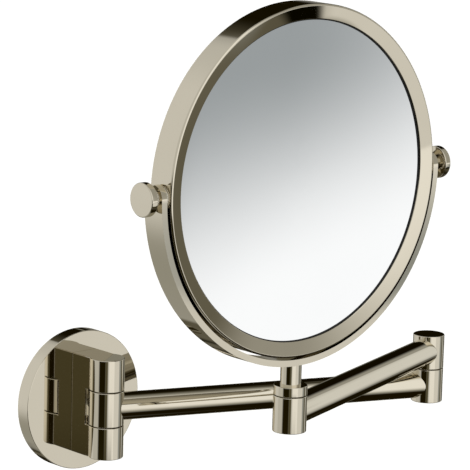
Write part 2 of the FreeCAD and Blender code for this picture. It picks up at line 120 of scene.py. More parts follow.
# ---- finishes
@dataclass(frozen=True)
class Finish:
    """What every finish has: a name, the record's slot for it and a material made once."""

    name: str
    slot: str = field(default="", kw_only=True)

    def material(self) -> bpy.types.Material:
        """Find this finish's material, or make it the first time.

        Returns:
            The material: one shader that is set and fed as the finish says.
        """
        made = bpy.data.materials.get(self.name)
        if made:
            return made
        made = bpy.data.materials.new(self.name)
        made.use_nodes = True
        tree = made.node_tree
        tree.nodes.clear()
        surface = add_node(tree, "ShaderNodeBsdfPrincipled", *self.shader(tree))
        add_node(tree, "ShaderNodeOutputMaterial", links={"Surface": surface.outputs["BSDF"]})
        return made

    def shader(self, tree: bpy.types.NodeTree) -> tuple[dict, dict]:
        """Give the shader's settings and the links that feed it. Each finish has its own."""
        raise NotImplementedError


@dataclass(frozen=True)
class Mottled(Finish):
    """A finish whose colour wanders a little between two tones."""

    light: str
    deep: str

    def mottle(self, tree: bpy.types.NodeTree, size_mm: float,
               detail: float) -> tuple[bpy.types.NodeSocket, bpy.types.NodeSocket]:
        """Make the pattern that the colour follows.

        Args:
            tree: the material's node tree.
            size_mm: the size of its patches.
            detail: how many finer layers it has.

        Returns:
            The pattern's socket and the colour's.
        """
        place = add_node(tree, "ShaderNodeTexCoord").outputs["Object"]
        pattern = add_node(tree, "ShaderNodeTexNoise",
                           {"Scale": 1 / (size_mm * MM), "Detail": detail},
                           {"Vector": place}).outputs["Fac"]
        tones = {"data_type": "RGBA", MIX_A: linear(self.deep), MIX_B: linear(self.light)}
        tone = add_node(tree, "ShaderNodeMix", tones, {MIX_FACTOR: pattern})
        return pattern, tone.outputs[MIX_COLOUR]


@dataclass(frozen=True)
class PlatedMetal(Mottled):
    """Metal with a plated or machined surface.

    A buffing wheel leaves the gloss a little uneven over a few centimetres, and the plating
    a faint waviness, so reflections are sharp but not perfectly straight.
    """

    light: str = "#DAD3C1"
    deep: str = "#D6CEBC"
    smooth: float = 0.02        # roughness where the buffing is best
    dull: float = 0.045         # roughness where it is least good
    patch_mm: float = 28.0      # size of the buffing's uneven patches
    patch_detail: float = 3.0
    wave_mm: float = 9.0        # length of the plating's waviness
    wave_height_mm: float = 0.0015

    def shader(self, tree: bpy.types.NodeTree) -> tuple[dict, dict]:
        """Make the metal: a conductor with the default IOR, its colour in the base.

        Args:
            tree: the material's node tree.

        Returns:
            The shader's settings and links.
        """
        patches, tone = self.mottle(tree, self.patch_mm, self.patch_detail)
        gloss = add_node(tree, "ShaderNodeMapRange", {"To Min": self.smooth, "To Max": self.dull},
                         {"Value": patches})
        place = add_node(tree, "ShaderNodeTexCoord").outputs["Object"]
        waves = add_node(tree, "ShaderNodeTexNoise",
                         {"Scale": 1 / (self.wave_mm * MM), "Detail": 0.0}, {"Vector": place})
        bump = add_node(tree, "ShaderNodeBump",
                        {"Strength": 1.0, "Distance": self.wave_height_mm * MM},
                        {"Height": waves.outputs["Fac"]})
        return {"Metallic": 1.0}, {"Base Color": tone, "Roughness": gloss.outputs["Result"],
                                   "Normal": bump.outputs["Normal"]}


@dataclass(frozen=True)
class Moulded(Mottled):
    """Moulded rubber or plastic: a dielectric with a fine matt skin from the mould."""

    roughness: float
    ior: float
    grain_mm: float = 0.6       # the mould's texture, drawn coarse enough to show
    grain_detail: float = 2.0
    grain_height_mm: float = 0.01
    grain_strength: float = 0.6

    def shader(self, tree: bpy.types.NodeTree) -> tuple[dict, dict]:
        """Make the moulded material: one colour all through, with the mould's grain on it.

        Args:
            tree: the material's node tree.

        Returns:
            The shader's settings and links.
        """
        grain, tone = self.mottle(tree, self.grain_mm, self.grain_detail)
        bump = add_node(tree, "ShaderNodeBump",
                        {"Strength": self.grain_strength, "Distance": self.grain_height_mm * MM},
                        {"Height": grain})
        return ({"Roughness": self.roughness, "IOR": self.ior},
                {"Base Color": tone, "Normal": bump.outputs["Normal"]})


@dataclass(frozen=True)
class SilveredGlass(Mottled):
    """Mirror glass: silver behind clear float glass, so a clean, almost colourless reflection."""

    light: str = "#F1F2F2"
    deep: str = "#EEEFEF"
    clean: float = 0.012        # roughness where the glass is cleanest
    hazed: float = 0.036        # roughness where the wiping haze is thickest
    haze_mm: float = 45.0       # size of the haze's patches
    haze_detail: float = 2.0

    def shader(self, tree: bpy.types.NodeTree) -> tuple[dict, dict]:
        """Make the mirror: a conductor for the silver, with a faint wiping haze.

        Args:
            tree: the material's node tree.

        Returns:
            The shader's settings and links.
        """
        haze, tone = self.mottle(tree, self.haze_mm, self.haze_detail)
        gloss = add_node(tree, "ShaderNodeMapRange", {"To Min": self.clean, "To Max": self.hazed},
                         {"Value": haze})
        return {"Metallic": 1.0}, {"Base Color": tone, "Roughness": gloss.outputs["Result"]}


@dataclass(frozen=True)
class PaintedFloor(Finish):
    """Matt white studio floor, lit from inside like a light table, so it stays pale."""

    colour: str = "#F7F7F6"
    roughness: float = 0.9
    glow: float = 0.55

    def shader(self, tree: bpy.types.NodeTree) -> tuple[dict, dict]:
        """Give the floor's paint, which needs no pattern."""
        return {"Base Color": linear(self.colour), "Roughness": self.roughness,
                "Emission Color": WHITE, "Emission Strength": self.glow}, {}


# Nickel plate, buffed to a mirror: warm, almost colourless silver with a hint of yellow.
NICKEL = PlatedMetal("polished nickel plate", slot="polished_nickel")
# Bright drawn steel: cooler than the plating, with a satin gloss that varies in small patches.
STEEL = PlatedMetal("bright drawn steel", light="#C9C8C4", deep="#B4B3AF", smooth=0.18,
                    dull=0.32, patch_mm=6.0)
# Zinc-plated pressed steel of the plate behind the flange: a dull grey with cloudy patches.
ZINC = PlatedMetal("zinc plated pressed steel", light="#BFC1C0", deep="#A7AAA9", smooth=0.3,
                   dull=0.45, patch_mm=8.0)
# Moulded nylon of the bushes, washers and clamping ring: waxy off-white.
NYLON = Moulded("moulded natural nylon", light="#E4DFD2", deep="#D8D2C3", roughness=0.42,
                ior=1.53)
# Black rubber of the glass seal: deep black with hardly any sheen.
RUBBER = Moulded("moulded black rubber", light="#0C0C0B", deep="#080807", roughness=0.6,
                 ior=1.52, slot="black_rubber")
# Float glass with silver behind it: a bright, clear reflection with no colour of its own.
GLASS = SilveredGlass("silvered float glass", slot="silvered_glass")
# Emulsion paint of a studio floor: even and pale, with no gloss.
FLOOR = PaintedFloor("matt white floor paint")


# ---- modelling
def ends_of(edges: Iterable[bmesh.types.BMEdge]) -> list[bmesh.types.BMVert]:
    """Return the ends of some edges, each once and always in the same order."""
    return list(dict.fromkeys(v for e in edges for v in e.verts))


class Workpiece:
    """A bmesh being shaped, in millimetres, and the object it becomes."""

    MERGE = 1e-4                # corners nearer than this are one corner
    WELD = 1e-3                 # the same, where the ends of two curves meet
    ROUNDING = 3                # facets across a rounded edge
    CREASE = 40.0               # edges that turn more than this many degrees are shaded sharp
    FLATTEN = 100               # how strongly the large faces set the shading

    def __init__(self) -> None:
        """Start with an empty bmesh."""
        self.bm = bmesh.new()

    def outline(self, points: Iterable[Vector], closed: bool = True) -> list[bmesh.types.BMEdge]:
        """Join points by edges.

        Args:
            points: the corners, in order.
            closed: join the last to the first as well.

        Returns:
            The new edges.
        """
        corners = [self.bm.verts.new(p) for p in points]
        pairs = list(zip(corners, corners[1:]))
        if closed:
            pairs.append((corners[-1], corners[0]))
        return [self.bm.edges.new(pair) for pair in pairs]

    def lathe(self, profile: list[tuple[float, float]], at: Vector, axis: Vector,
              steps: int) -> "Workpiece":
        """Turn a profile into a solid of revolution.

        Args:
            profile: (radius, distance along the axis) corners; one that starts and ends on the
                axis stays open there, and any other is closed.
            at: the point on the axis that distances are measured from.
            axis: the direction of the axis.
            steps: facets in the full turn.

        Returns:
            This workpiece.
        """
        across = axis.orthogonal().normalized()
        on_axis = profile[0][0] == 0 and profile[-1][0] == 0
        edges = self.outline([at + across * r + axis * d for r, d in profile], not on_axis)
        bmesh.ops.spin(self.bm, geom=ends_of(edges) + edges, cent=at, axis=axis, dvec=Vector(),
                       angle=FULL_TURN, steps=steps, use_merge=True, use_duplicate=False)
        return self.tidy()

    def tidy(self) -> "Workpiece":
        """Merge doubles, close poles and point every face outwards."""
        bmesh.ops.remove_doubles(self.bm, verts=self.bm.verts, dist=self.MERGE)
        bmesh.ops.recalc_face_normals(self.bm, faces=self.bm.faces)
        return self

    def soften(self, width: float, where: Callable[[bmesh.types.BMEdge], bool],
               sharper_than: float = 35.0) -> "Workpiece":
        """Round the sharp edges that a test accepts.

        Args:
            width: how far the rounding reaches from the edge, in millimetres.
            where: says whether an edge is one to round.
            sharper_than: the least angle between an edge's faces, in degrees.

        Returns:
            This workpiece.
        """
        limit = math.radians(sharper_than)
        edges = [e for e in self.bm.edges
                 if len(e.link_faces) == 2 and e.calc_face_angle() > limit and where(e)]
        bmesh.ops.bevel(self.bm, geom=edges, offset=width, offset_type="OFFSET", affect="EDGES",
                        segments=self.ROUNDING, profile=0.5, material=-1, clamp_overlap=True)
        bmesh.ops.recalc_face_normals(self.bm, faces=self.bm.faces)
        return self

    def finish(self, name: str, finish: Finish, body: Body, replaces: str) -> bpy.types.Object:
        """Turn the bmesh into a dressed object that rides on a body.

        Args:
            name: the piece's name.
            finish: its surface, with the record's slot for it.
            body: the moving part it belongs to.
            replaces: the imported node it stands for.

        Returns:
            The finished object.
        """
        bmesh.ops.scale(self.bm, vec=(MM, MM, MM), verts=self.bm.verts)
        mesh = bpy.data.meshes.new(name)
        self.bm.to_mesh(mesh)
        self.bm.free()
        mesh.shade_smooth()
        mesh.set_sharp_from_angle(angle=math.radians(self.CREASE))
        piece = bpy.data.objects.new(name, mesh)
        bpy.context.scene.collection.objects.link(piece)
        piece.data.materials.append(finish.material())
        weights = piece.modifiers.new("flat faces stay flat", "WEIGHTED_NORMAL")
        weights.weight = self.FLATTEN
        weights.keep_sharp = True
        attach(piece, body.value)
        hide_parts(replaces)
        log.info("%s: %d faces", name, len(mesh.polygons))
        return piece


def anywhere(edge: bmesh.types.BMEdge) -> bool:
    """Accept every edge."""
    return True


def outside(at: Vector, axis: Vector, radius: float) -> Callable[[bmesh.types.BMEdge], bool]:
    """Make a test for the edges on the outer surface of something turned.

    Args:
        at: a point on its axis.
        axis: the direction of its axis.
        radius: its outer radius.

    Returns:
        A test that is true for an edge that far from the axis.
    """
    def far_out(edge: bmesh.types.BMEdge) -> bool:
        """True for an edge on the outer surface."""
        return all((v.co - at).cross(axis).length > radius - SKIN for v in edge.verts)
    return far_out


def dress_node(node: str, finish: Finish) -> None:
    """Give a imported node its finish.

    Args:
        node: the node's name.
        finish: its surface.
    """
    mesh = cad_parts[node].data
    mesh.materials.clear()
    mesh.materials.append(finish.material())
    log.info("%s: dressed as %s", node, finish.name)


# ---- where things are
@dataclass(frozen=True)
class Layout:
    """The joints' places, which every sub-assembly shares, in millimetres."""

    flange_t: float = 9.0
    hinge_axis_out: float = 20.75
    knuckle_h: float = 20.0
    seam: float = 0.4
    arm_1_length: float = 202.0
    arm_2_length: float = 178.0
    arm_1_heading: float = -19.7
    arm_2_heading: float = 199.7
    collar_h: float = 5.4
    stem_length: float = 11.8
    yoke_r: float = 100.0
    yoke_t: float = 3.5
    frame_d: float = 190.0

    @staticmethod
    def heading(degrees: float) -> Vector:
        """Return the level direction at an angle from +X, seen from above."""
        turn = math.radians(degrees)
        return Vector((math.cos(turn), math.sin(turn), 0))

    @property
    def wall_hinge(self) -> Vector:
        """The wall hinge's axis at the first arm's height."""
        return Vector((0, -(self.flange_t + self.hinge_axis_out), 0))

    @property
    def arm_1_dir(self) -> Vector:
        """From the wall hinge to the elbow."""
        return self.heading(self.arm_1_heading)

    @property
    def arm_2_dir(self) -> Vector:
        """From the elbow to the front hinge."""
        return self.heading(self.arm_2_heading)

    @property
    def level(self) -> float:
        """From the first arm's height up to the second's."""
        return self.knuckle_h + self.seam

    @property
    def elbow(self) -> Vector:
        """The elbow's axis at the first arm's height."""
        return self.wall_hinge + self.arm_1_dir * self.arm_1_length

    @property
    def elbow_top(self) -> Vector:
        """The elbow's axis at the second arm's height."""
        return self.elbow + Z_AXIS * self.level

    @property
    def front_hinge(self) -> Vector:
        """The front hinge's axis at the second arm's height."""
        return self.elbow_top + self.arm_2_dir * self.arm_2_length

    @property
    def collar_foot(self) -> Vector:
        """The middle of the swivel collar's underside."""
        return self.front_hinge + Z_AXIS * (self.knuckle_h / 2 + self.seam)

    @property
    def stem_foot(self) -> Vector:
        """The middle of the stem's lower end."""
        return self.collar_foot + Z_AXIS * self.collar_h

    @property
    def mirror(self) -> Vector:
        """The middle of the mirror head, where the tilt axis crosses it."""
        return self.stem_foot + Z_AXIS * (self.stem_length + self.yoke_r)


LAYOUT = Layout()


@dataclass
class HingeParts:
    """Turned barrels, caps and saddled tubes, which the arms share."""

    layout: Layout = LAYOUT
    bush_d: float = 11.08
    chamber_d: float = 13.0
    chamber_h: float = 4.0
    cap_d: float = 14.0
    cap_t: float = 1.5
    cap_fit: float = 0.05
    edge: float = 0.4           # rounding of the barrels' edges
    cap_edge: float = 0.15
    tube_d: float = 16.0
    tube_wall: float = 1.5
    steps: int = 192

    def barrel(self, at: Vector, barrel_d: float) -> Workpiece:
        """Shape a plain barrel, bored right through for its bushes.

        Args:
            at: the middle of the barrel.
            barrel_d: its diameter.

        Returns:
            The workpiece.
        """
        r, bore, half = barrel_d / 2, self.bush_d / 2, self.layout.knuckle_h / 2
        return self.turned([(bore, -half), (r, -half), (r, half), (bore, half)], at, r)

    def capped_barrel(self, at: Vector, barrel_d: float) -> Workpiece:
        """Shape a barrel with a bush bore from above and a screw chamber and cap seat from below.

        Args:
            at: the middle of the barrel.
            barrel_d: its diameter.

        Returns:
            The workpiece.
        """
        r, bore, half = barrel_d / 2, self.bush_d / 2, self.layout.knuckle_h / 2
        seat, room = self.cap_d / 2 + self.cap_fit, self.chamber_d / 2
        roof = -half + self.cap_t + self.chamber_h
        profile = [(seat, -half), (r, -half), (r, half), (bore, half), (bore, roof), (room, roof),
                   (room, -half + self.cap_t), (seat, -half + self.cap_t)]
        return self.turned(profile, at, r)

    def closed_barrel(self, at: Vector, barrel_d: float, pin_d: float,
                      pin_seat: float) -> Workpiece:
        """Shape a barrel closed on top, with a blind bore for its pin from below.

        Args:
            at: the middle of the barrel.
            barrel_d: its diameter.
            pin_d: the bore's diameter.
            pin_seat: the bore's depth.

        Returns:
            The workpiece.
        """
        r, bore, half = barrel_d / 2, pin_d / 2, self.layout.knuckle_h / 2
        profile = [(0, half), (r, half), (r, -half), (bore, -half), (bore, pin_seat - half),
                   (0, pin_seat - half)]
        return self.turned(profile, at, r)

    def turned(self, profile: list[tuple[float, float]], at: Vector, radius: float) -> Workpiece:
        """Turn an upright barrel, its outer edges rounded and its bore left sharp.

        Args:
            profile: its (radius, height) corners.
            at: the middle of the barrel.
            radius: its outer radius.

        Returns:
            The workpiece.
        """
        work = Workpiece().lathe(profile, at, Z_AXIS, self.steps)
        return work.soften(self.edge, outside(at, Z_AXIS, radius))

    def cap(self, at: Vector) -> Workpiece:
        """Shape the disc that closes a barrel from below.

        Args:
            at: the middle of the barrel.

        Returns:
            The workpiece.
        """
        foot, r = at - Z_AXIS * self.layout.knuckle_h / 2, self.cap_d / 2
        profile = [(0, 0), (r, 0), (r, self.cap_t), (0, self.cap_t)]
        return Workpiece().lathe(profile, foot, Z_AXIS, self.steps).soften(self.cap_edge, anywhere)

    def tube(self, start: Vector, end: Vector, start_barrel_d: float,
             end_barrel_d: float) -> Workpiece:
        """Shape a tube whose ends are saddled over the barrels it joins.

        Args:
            start: the first barrel's middle.
            end: the second barrel's middle.
            start_barrel_d: the first barrel's diameter.
            end_barrel_d: the second barrel's diameter.

        Returns:
            The workpiece.
        """
        along = (end - start).normalized()
        level = along.cross(Z_AXIS).normalized()
        work = Workpiece()
        turn = along.to_track_quat("Z", "Y").to_matrix().to_4x4()
        ring = bmesh.ops.create_circle(work.bm, cap_ends=False, segments=self.steps,
                                       radius=self.tube_d / 2,
                                       matrix=Matrix.Translation(start) @ turn)["verts"]
        rim = list(dict.fromkeys(e for v in ring for e in v.link_edges))
        grown = bmesh.ops.extrude_edge_only(work.bm, edges=rim)
        far = [g for g in grown["geom"] if isinstance(g, bmesh.types.BMVert)]
        bmesh.ops.translate(work.bm, verts=far, vec=end - start)
        for verts, middle, way, barrel_d in ((ring, start, along, start_barrel_d),
                                             (far, end, -along, end_barrel_d)):
            for v in verts:
                aside = (v.co - middle).dot(level)
                v.co += way * math.sqrt((barrel_d / 2) ** 2 - aside ** 2)
        bmesh.ops.recalc_face_normals(work.bm, faces=work.bm.faces)
        face = work.bm.faces[:][0]
        off_axis = face.calc_center_median() - start
        off_axis -= along * off_axis.dot(along)
        if face.normal.dot(off_axis) < 0:
            bmesh.ops.reverse_faces(work.bm, faces=work.bm.faces)
        bmesh.ops.solidify(work.bm, geom=work.bm.faces[:], thickness=self.tube_wall)
        return work.tidy()


@dataclass
class WallMount:
    """The round wall flange, the upright hinge block on it and what is behind them."""

    layout: Layout = LAYOUT
    flange_d: float = 81.0
    flange_rim: float = 3.0
    flange_front_t: float = 3.5
    edge: float = 0.4
    web_w: float = 17.5
    block_h: float = 58.0
    barrel_d: float = 20.0
    relief: float = 2.0         # gap behind the knuckle
    plug_d: float = 10.0
    plug_t: float = 2.2
    steps: int = 256
    notch_steps: int = 48
    plug_steps: int = 96

    def build(self) -> None:
        """Build and dress every piece of the wall side."""
        self.flange().finish("wall_flange_cup", NICKEL, Body.WALL, "wall_flange")
        self.block().finish("hinge_block_body", NICKEL, Body.WALL, "hinge_block")
        self.plug().finish("hinge_bore_plug", NICKEL, Body.WALL, "wall_hinge_plug")
        dress_node("mounting_plate", ZINC)
        for node in ("flange_set_screw", "block_screws", "wall_hinge_pin"):
            dress_node(node, STEEL)

    def flange(self) -> Workpiece:
        """Shape the round cup that stands on the wall."""
        r, deep = self.flange_d / 2, self.layout.flange_t
        cavity_r, cavity = r - self.flange_rim, deep - self.flange_front_t
        profile = [(0, deep), (r, deep), (r, 0), (cavity_r, 0), (cavity_r, cavity), (0, cavity)]
        work = Workpiece().lathe(profile, Vector(), -Y_AXIS, self.steps)

        def front_edge(edge: bmesh.types.BMEdge) -> bool:
            """True for the edge round the flange's face."""
            return all(v.co.y < -deep + NEAR and v.co.xz.length > r - SKIN for v in edge.verts)
        return work.soften(self.edge, front_edge)

    def block(self) -> Workpiece:
        """Shape the hinge block: a keyhole plan raised in three storeys, the middle one notched."""
        axis = self.layout.wall_hinge
        half_h, half_notch = self.block_h / 2, self.layout.knuckle_h / 2 + self.layout.seam
        notch_r, side = self.barrel_d / 2 + self.relief, self.web_w / 2
        back = -self.layout.flange_t
        join_y = axis.y + math.sqrt((self.barrel_d / 2) ** 2 - side ** 2)
        lip_y = axis.y + math.sqrt(notch_r ** 2 - side ** 2)
        work = Workpiece()
        plan = ((side, join_y), (side, lip_y), (side, back), (-side, back), (-side, lip_y),
                (-side, join_y))
        edges = work.outline([Vector((x, y, -half_h)) for x, y in plan], closed=False)
        last = edges[-1].verts[1]
        sweep = FULL_TURN - 2 * math.asin(side / (self.barrel_d / 2))
        bmesh.ops.spin(work.bm, geom=[last], cent=axis - Z_AXIS * half_h, axis=Z_AXIS,
                       dvec=Vector(), angle=sweep, steps=self.steps, use_merge=False,
                       use_duplicate=False)
        bmesh.ops.remove_doubles(work.bm, verts=work.bm.verts, dist=work.WELD)
        storeys = (half_h - half_notch, 2 * half_notch, half_h - half_notch)
        rim = work.bm.edges[:]
        bmesh.ops.contextual_create(work.bm, geom=rim)
        for rise in storeys:
            grown = bmesh.ops.extrude_edge_only(work.bm, edges=rim)
            rim = [g for g in grown["geom"]
                   if isinstance(g, bmesh.types.BMEdge) and len(g.link_faces) == 1]
            bmesh.ops.translate(work.bm, verts=ends_of(rim), vec=Z_AXIS * rise)
        bmesh.ops.contextual_create(work.bm, geom=rim)
        self.notch(work, axis, half_notch, notch_r, lip_y)
        return work.tidy().soften(self.edge, anywhere)

    def notch(self, work: Workpiece, axis: Vector, half: float, radius: float,
              lip_y: float) -> None:
        """Cut the notch for the wall knuckle out of the block's middle storey.

        Args:
            work: the block, with its three storeys of side faces.
            axis: the hinge axis.
            half: half of the notch's height.
            radius: the radius of its rounded back.
            lip_y: where that back meets the block's flat sides.
        """
        side = self.web_w / 2
        open_faces = [f for f in work.bm.faces
                      if abs(f.calc_center_median().z) < half and f.calc_center_median().y < lip_y
                      and abs(f.normal.z) < UPRIGHT]
        bmesh.ops.delete(work.bm, geom=open_faces, context="FACES")
        post = [work.bm.verts.new((side, lip_y, z)) for z in (-half, half)]
        edge = work.bm.edges.new(post)
        sweep = 2 * math.asin(side / radius)
        bmesh.ops.spin(work.bm, geom=post + [edge], cent=axis, axis=Z_AXIS, dvec=Vector(),
                       angle=sweep, steps=self.notch_steps, use_merge=False, use_duplicate=False)
        bmesh.ops.remove_doubles(work.bm, verts=work.bm.verts, dist=work.WELD)
        for z in (-half, half):
            rim = [e for e in work.bm.edges if len(e.link_faces) == 1
                   and all(abs(v.co.z - z) < NEAR for v in e.verts)]
            bmesh.ops.contextual_create(work.bm, geom=rim)

    def plug(self) -> Workpiece:
        """Shape the disc that closes the pin's bore from below."""
        foot = self.layout.wall_hinge - Z_AXIS * (self.block_h / 2)
        r = self.plug_d / 2
        profile = [(0, 0), (r, 0), (r, self.plug_t), (0, self.plug_t)]
        return Workpiece().lathe(profile, foot, Z_AXIS, self.plug_steps)


@dataclass
class RearArm:
    """The wall knuckle, the first tube and the elbow's lower half."""

    layout: Layout = LAYOUT
    parts: HingeParts = field(default_factory=HingeParts)
    knuckle_d: float = 20.0
    hinge_d: float = 18.5

    def build(self) -> None:
        """Build and dress every piece of the rear arm."""
        where, parts = self.layout, self.parts
        for name, node, work in (
                ("wall_knuckle_barrel", "wall_knuckle",
                 parts.barrel(where.wall_hinge, self.knuckle_d)),
                ("rear_arm_tube", "arm_tube_1",
                 parts.tube(where.wall_hinge, where.elbow, self.knuckle_d, self.hinge_d)),
                ("elbow_lower_barrel", "elbow_lower",
                 parts.capped_barrel(where.elbow, self.hinge_d)),
                ("elbow_cap_disc", "elbow_cap", parts.cap(where.elbow))):
            work.finish(name, NICKEL, Body.REAR_ARM, node)
        for node in ("wall_hinge_bushes", "elbow_bushes"):
            dress_node(node, NYLON)


@dataclass
class FrontArm:
    """The elbow's upper half, the second tube and the front hinge."""

    layout: Layout = LAYOUT
    parts: HingeParts = field(default_factory=HingeParts)
    hinge_d: float = 18.5
    pin_d: float = 8.0
    pin_seat: float = 12.0

    def build(self) -> None:
        """Build and dress every piece of the front arm."""
        where, parts = self.layout, self.parts
        for name, node, work in (
                ("elbow_upper_barrel", "elbow_upper",
                 parts.closed_barrel(where.elbow_top, self.hinge_d, self.pin_d, self.pin_seat)),
                ("front_arm_tube", "arm_tube_2",
                 parts.tube(where.elbow_top, where.front_hinge, self.hinge_d, self.hinge_d)),
                ("front_hinge_barrel", "front_hinge",
                 parts.capped_barrel(where.front_hinge, self.hinge_d)),
                ("front_hinge_cap_disc", "front_hinge_cap", parts.cap(where.front_hinge))):
            work.finish(name, NICKEL, Body.FRONT_ARM, node)
        dress_node("front_hinge_bushes", NYLON)
        for node in ("elbow_pin", "elbow_spring_washer", "elbow_screw"):
            dress_node(node, STEEL)


@dataclass
class YokeAssembly:
    """The swivel collar, the stem and the half-ring yoke on top of it."""

    layout: Layout = LAYOUT
    collar_d: float = 18.5
    collar_hole_d: float = 8.1
    stem_d: float = 11.5
    stem_bite: float = 0.02     # how far the stem's top reaches into the hoop
    yoke_w: float = 14.0
    edge: float = 0.4
    bar_edge: float = 0.35
    bar_corner: float = 50.0    # degrees that a corner of the bar turns at least
    steps: int = 192
    hoop_steps: int = 180
    end_steps: int = 20

    def build(self) -> None:
        """Build and dress every piece of the yoke."""
        self.collar().finish("swivel_collar_ring", NICKEL, Body.YOKE, "swivel_collar")
        self.stem().finish("stem_rod", NICKEL, Body.YOKE, "stem")
        self.yoke().finish("yoke_hoop", NICKEL, Body.YOKE, "yoke")
        for node in ("swivel_pin", "swivel_spring_washer", "swivel_screw", "yoke_screw"):
            dress_node(node, STEEL)

    def collar(self) -> Workpiece:
        """Shape the short barrel that turns on the front hinge."""
        r, hole, tall = self.collar_d / 2, self.collar_hole_d / 2, self.layout.collar_h
        at = self.layout.collar_foot
        profile = [(hole, 0), (r, 0), (r, tall), (hole, tall)]
        work = Workpiece().lathe(profile, at, Z_AXIS, self.steps)
        return work.soften(self.edge, outside(at, Z_AXIS, r))

    def stem(self) -> Workpiece:
        """Shape the rod between the collar and the yoke, its top hollowed to sit on the hoop."""
        centre, tall = self.layout.mirror, self.layout.stem_length
        middle = self.layout.stem_foot + Z_AXIS * tall / 2
        work = Workpiece()
        rod = bmesh.ops.create_cone(work.bm, cap_ends=True, segments=self.steps,
                                    radius1=self.stem_d / 2, radius2=self.stem_d / 2, depth=tall,
                                    matrix=Matrix.Translation(middle))
        reach = self.layout.yoke_r - self.stem_bite
        for v in rod["verts"]:
            if v.co.z > middle.z:
                v.co.z = centre.z - math.sqrt(reach ** 2 - (v.co.x - centre.x) ** 2)
        return work.tidy()

    def yoke(self) -> Workpiece:
        """Shape the half ring of flat bar with round ends about the tilt axis."""
        centre = self.layout.mirror
        outer, inner = self.layout.yoke_r, self.layout.yoke_r - self.layout.yoke_t
        half = self.yoke_w / 2
        work = Workpiece()
        bar = work.outline([centre + Vector((r, y, 0)) for r, y in
                            ((inner, -half), (outer, -half), (outer, half), (inner, half))])
        bmesh.ops.spin(work.bm, geom=work.bm.verts[:] + bar, cent=centre, axis=Y_AXIS,
                       dvec=Vector(), angle=math.pi, steps=self.hoop_steps, use_merge=False,
                       use_duplicate=False)
        for side in Side:
            rim = [e for e in work.bm.edges if len(e.link_faces) == 1
                   and all(abs(v.co.z - centre.z) < NEAR and (v.co.x - centre.x) * side.value > 0
                           for v in e.verts)]
            self.round_end(work, rim, centre, half, side)
        return work.tidy().soften(self.bar_edge, anywhere, self.bar_corner)

    def round_end(self, work: Workpiece, rim: list[bmesh.types.BMEdge], centre: Vector,
                  half: float, side: Side) -> None:
        """Carry the bar on above the tilt axis to a round end.

        Args:
            work: the yoke so far.
            rim: the open edges of the bar's end.
            centre: the mirror's middle.
            half: half of the bar's width.
            side: which end of the bar it is.
        """
        for step in range(1, self.end_steps + 1):
            turn = math.pi / 2 * step / self.end_steps
            rise, wide = half * math.sin(turn), max(math.cos(turn), 0.0)
            grown = bmesh.ops.extrude_edge_only(work.bm, edges=rim)
            rim = [g for g in grown["geom"]
                   if isinstance(g, bmesh.types.BMEdge) and len(g.link_faces) == 1]
            for v in ends_of(rim):
                flat = math.hypot(v.co.x - centre.x, v.co.z - centre.z)
                v.co.z = centre.z + rise
                v.co.x = centre.x + side.value * math.sqrt(flat ** 2 - rise ** 2)
                v.co.y = centre.y + math.copysign(half, v.co.y - centre.y) * wide
        bmesh.ops.remove_doubles(work.bm, verts=ends_of(rim), dist=work.WELD)


